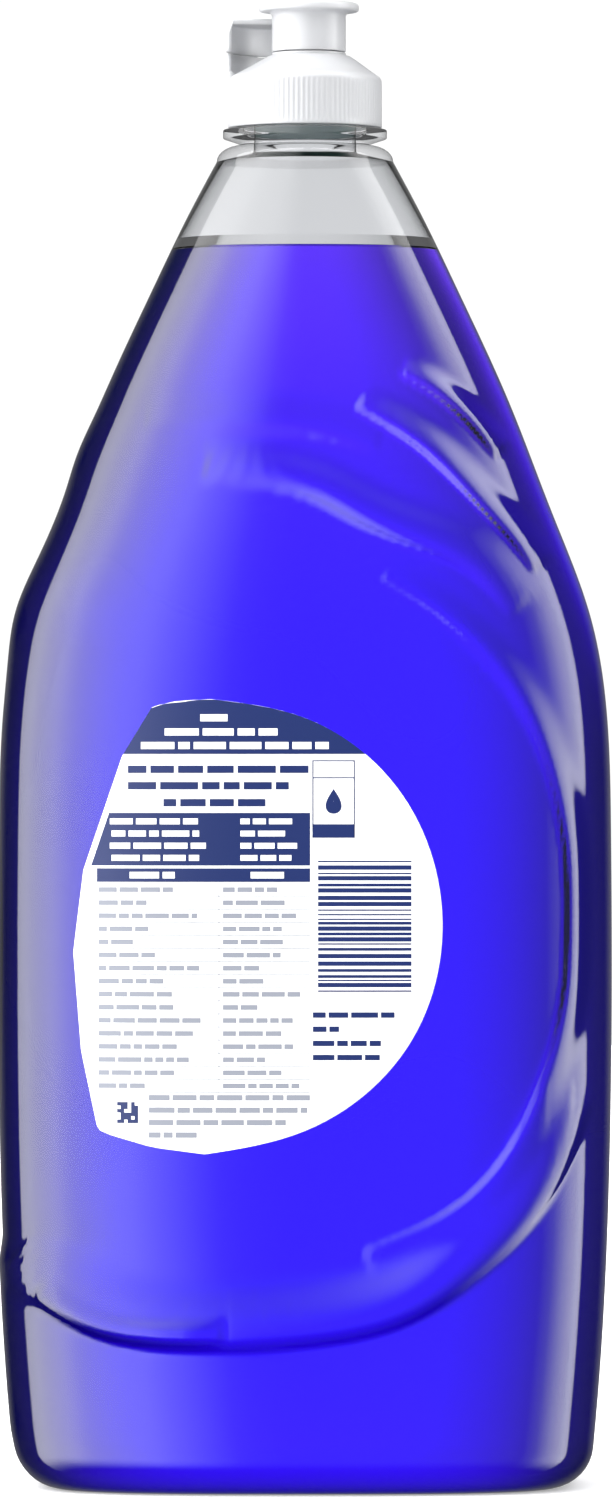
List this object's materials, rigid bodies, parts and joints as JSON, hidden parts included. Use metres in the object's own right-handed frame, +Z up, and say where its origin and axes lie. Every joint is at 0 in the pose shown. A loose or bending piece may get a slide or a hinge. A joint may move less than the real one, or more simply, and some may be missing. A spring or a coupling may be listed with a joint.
{
  "type": "dish soap bottle",
  "caption": "Clear oval squeeze bottle of blue dish soap with film labels and a screw-on flip-top closure with a hinged lid over its nozzle.",
  "frame": {"origin": "middle of the standing face, on the neck's axis", "axes": "+Z up along the neck, +X across the wide side, -Y towards the back label"},
  "size_m": [0.1101, 0.0638, 0.2665],
  "materials": {
    "pet": "clear gloss",
    "soap": "clear blue liquid",
    "label_film": "printed film",
    "polypropylene": "natural, translucent"
  },
  "bodies": {
    "bottle": {"bottle": "pet", "soap": "soap", "back_label": "label_film", "front_label": "label_film"},
    "closure": {"closure": "polypropylene"},
    "lid": {"lid": "polypropylene"}
  },
  "joints": [
    {"name": "closure_lift", "type": "slide", "parent": "bottle", "child": "closure", "axis": [0, 0, 1], "range_m": [0, 0.022]},
    {"name": "lid_hinge", "type": "hinge", "parent": "closure", "child": "lid", "pos_m": [-0.01188, 0.00832, 0.2577], "axis": [-0.5736, -0.8192, 0], "range_deg": [0, 150]}
  ]
}
